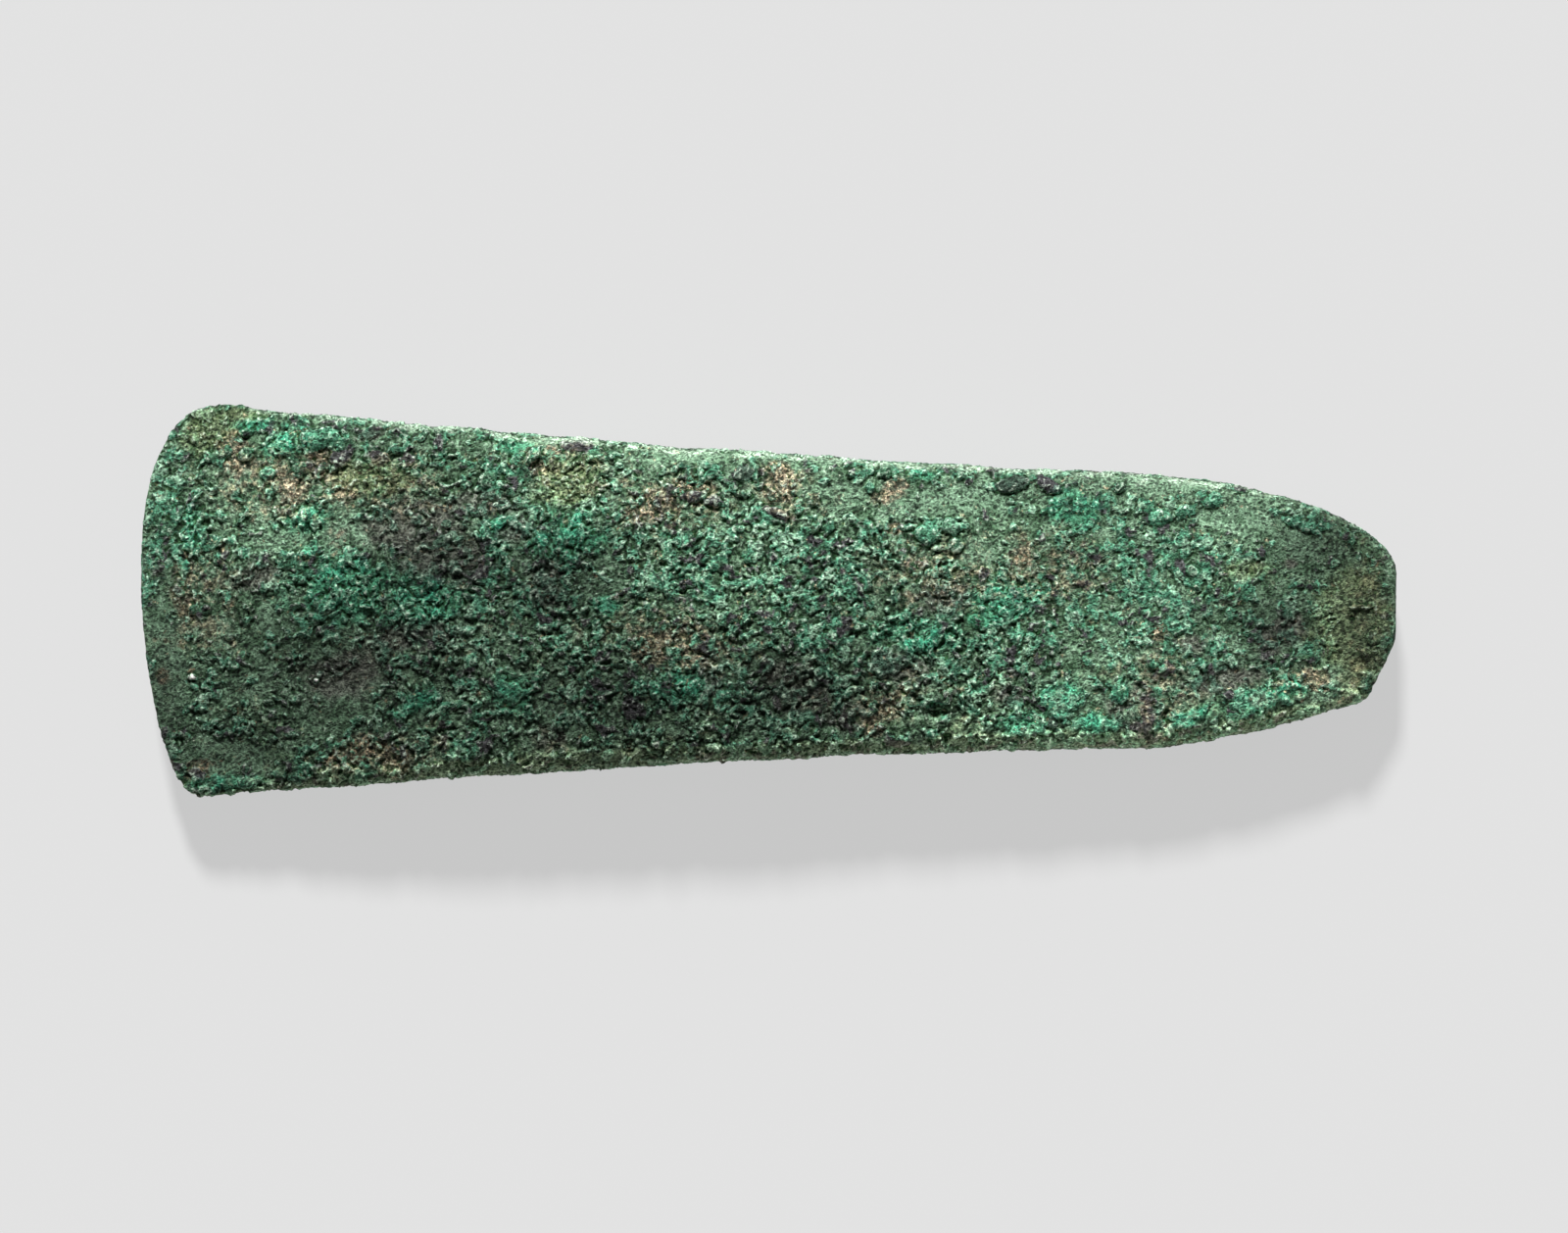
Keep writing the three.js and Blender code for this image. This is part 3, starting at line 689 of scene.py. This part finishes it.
def shaded(m, colour, crease, small_crease, grit, grain):
    """The colour with painted shade in crevices and creases, painted light and shade that follow the bump's
    grit, grain and small creases, painted light and shade by passage, and painted light on the lower rim.
    """
    # Painted shade: crevices between the lumps and the hollows between creases darkened towards the crevice
    # colour.
    clear = m.spread(m.attribute("proud"), 0.1, 0.5)
    clear = m.math("MULTIPLY", clear, m.spread(crease, 0.0, 0.5, 0.5, 1.0))
    colour = m.mix(colour, m.mix(CREVICE_PAINTED_SHADE, WHITE, clear), 1.0, blend="MULTIPLY")
    # Painted light and shade on the fine relief: lighter where the bump's grit, small creases and grain
    # rise, darker where they sink.
    shade = m.spread(grit, 0.3, 0.7, 0.55, 1.35)
    shade = m.math("MULTIPLY", shade, m.spread(small_crease, 0.0, 1.0, 0.45, 1.45))
    shade = m.math("MULTIPLY", shade, m.spread(grain, 0.3, 0.7, 0.5, 1.5))
    # Painted light and shade by passage, from 0.45 to 1.7 times.
    shade = m.math("MULTIPLY", shade, m.spread(m.attribute("tone"), 0.0, 1.0, 0.45, 1.7))
    # Painted light on the lower rim, which faces away from the lamp: up to 1.6 times lighter.
    shade = m.math("MULTIPLY", shade, m.spread(m.attribute("rim"), 0.0, 1.0, 1.0, 1.6))
    return m.mix(colour, shade, 1.0, blend="MULTIPLY")


def add_fine_relief(m, crease, small_crease, grit, grain):
    """Bump of up to a few tenths of a millimetre, with deeper creases on the lumps."""
    depth = m.spread(m.attribute("lump"), 0.0, 0.7, 0.03, 0.13)
    relief = m.math("ADD", m.math("MULTIPLY", crease, depth), m.math("MULTIPLY", small_crease, 0.07))
    relief = m.math("ADD", relief, m.math("MULTIPLY", grit, 0.2))
    relief = m.math("ADD", relief, m.math("MULTIPLY", grain, 0.06))
    bump = m.nodes.new("ShaderNodeBump")
    bump.inputs["Strength"].default_value = 1
    bump.inputs["Distance"].default_value = MM
    m.put(relief, bump.inputs["Height"])
    m.put(bump.outputs["Normal"], m.shader.inputs["Normal"])


def studio():
    """Pale floor, pale light all round, and a soft low lamp beyond the upper side."""
    lay_floor()
    light_room()
    key_light(LAMP_AZIMUTH, LAMP_ELEVATION, LAMP_STRENGTH, LAMP_SPREAD)


def lay_floor():
    """A plain floor with no gloss."""
    bpy.ops.mesh.primitive_plane_add(size=FLOOR_SIZE)
    floor = bpy.context.object
    floor.name = "floor"
    material = bpy.data.materials.new("pale floor")
    material.use_nodes = True
    shader = material.node_tree.nodes["Principled BSDF"]
    shader.inputs["Base Color"].default_value = (FLOOR_GREY, FLOOR_GREY, FLOOR_GREY, 1)
    shader.inputs["Specular IOR Level"].default_value = 0
    shader.inputs["Emission Color"].default_value = (1, 1, 1, 1)
    shader.inputs["Emission Strength"].default_value = FLOOR_GLOW
    shader.inputs["Roughness"].default_value = FLOOR_ROUGHNESS
    floor.data.materials.append(material)


def light_room():
    """White light from every side, weaker from overhead, so that the crust keeps its shadows."""
    world = bpy.data.worlds.new("pale room")
    world.use_nodes = True
    nodes, links = world.node_tree.nodes, world.node_tree.links
    height = nodes.new("ShaderNodeSeparateXYZ")
    links.new(nodes.new("ShaderNodeTexCoord").outputs["Generated"], height.inputs["Vector"])
    fall = nodes.new("ShaderNodeMapRange")
    fall.inputs["From Min"].default_value = ROOM_FALL[0]
    fall.inputs["From Max"].default_value = ROOM_FALL[1]
    fall.inputs["To Min"].default_value = ROOM_LOW
    fall.inputs["To Max"].default_value = ROOM_OVERHEAD
    links.new(height.outputs["Z"], fall.inputs["Value"])
    links.new(fall.outputs["Result"], nodes["Background"].inputs["Strength"])
    nodes["Background"].inputs["Color"].default_value = (1, 1, 1, 1)
    bpy.context.scene.world = world


def key_light(azimuth, elevation, strength, spread):
    """A far lamp shining on the head; azimuth turns anticlockwise from +X, and all angles are degrees."""
    a, e = math.radians(azimuth), math.radians(elevation)
    away = Vector((math.cos(a) * math.cos(e), math.sin(a) * math.cos(e), math.sin(e)))
    data = bpy.data.lights.new("key", "SUN")
    data.energy = strength
    data.angle = math.radians(spread)
    lamp = bpy.data.objects.new("key", data)
    lamp.rotation_euler = away.to_track_quat("Z", "Y").to_euler()
    bpy.context.scene.collection.objects.link(lamp)


def camera():
    """Straight down on the head, which lies a little turned in the picture."""
    data = bpy.data.cameras.new("camera")
    data.lens = LENS
    view = bpy.data.objects.new("camera", data)
    distance = PICTURE_WIDTH * MM / data.sensor_width * LENS
    x, y = PICTURE_CENTRE
    view.location = (x * MM, y * MM, distance + MIDDLE_Z * MM)
    view.rotation_euler = (0, 0, math.radians(PICTURE_TURN))
    bpy.context.scene.collection.objects.link(view)
    bpy.context.scene.camera = view


bpy.context.scene.view_settings.view_transform = "Standard"
camera()
studio()
head = axe_head()
head.data.materials.clear()
head.data.materials.append(crust_material())
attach(head, "root")
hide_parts(NODE)
